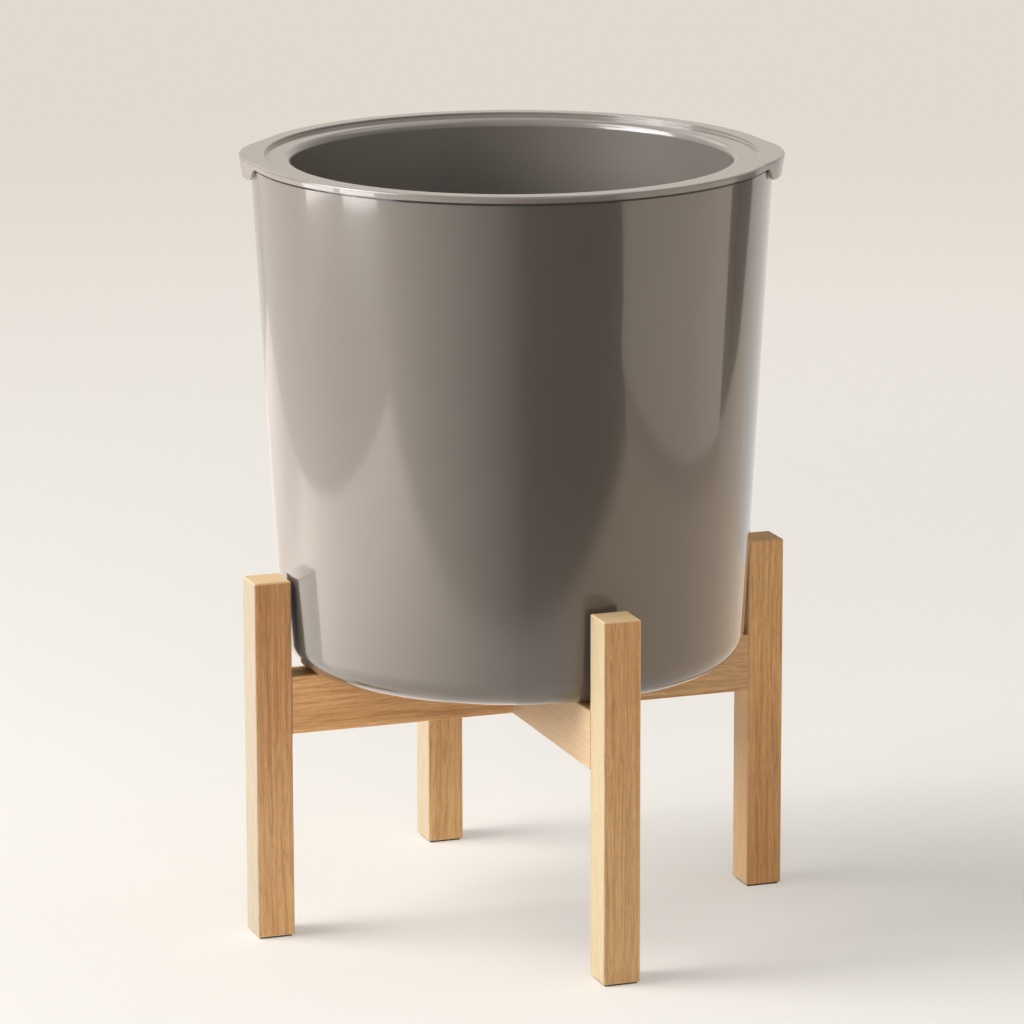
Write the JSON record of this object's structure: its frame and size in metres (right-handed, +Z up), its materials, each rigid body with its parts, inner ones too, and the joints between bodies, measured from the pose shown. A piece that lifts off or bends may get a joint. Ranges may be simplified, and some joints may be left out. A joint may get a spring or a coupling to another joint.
{
  "type": "plant stand",
  "caption": "Round tapered planter pot with a lift-out liner, standing in a low wooden stand of square legs and half-lapped crossed rails.",
  "frame": {"origin": "on the floor, in the middle of the legs", "axes": "+Z up, +X along the long rail to the right-hand leg, +Y to the back, away from the lip seen at the front"},
  "size_m": [0.324, 0.324, 0.4476],
  "materials": {
    "oak": "matt oiled oak, open grain",
    "dowel_beech": "plain beech dowel",
    "screw_steel": "zinc-plated",
    "felt": "dark brown felt",
    "pot_plastic": "high-gloss warm grey",
    "liner_plastic": "high-gloss warm grey"
  },
  "bodies": {
    "stand": {"leg_left": "oak", "leg_front": "oak", "leg_right": "oak", "leg_back": "oak", "rail_long": "oak", "rail_cross": "oak", "dowels": "dowel_beech", "rail_screw": "screw_steel", "foot_pad_left": "felt", "foot_pad_front": "felt", "foot_pad_right": "felt", "foot_pad_back": "felt"},
    "pot": {"pot": "pot_plastic"},
    "liner": {"liner": "liner_plastic"}
  },
  "joints": [
    {"name": "pot_lift", "type": "slide", "parent": "stand", "child": "pot", "axis": [0, 0, 1], "range_m": [0, 0.1]},
    {"name": "liner_lift", "type": "slide", "parent": "pot", "child": "liner", "axis": [0, 0, 1], "range_m": [0, 0.26]}
  ]
}
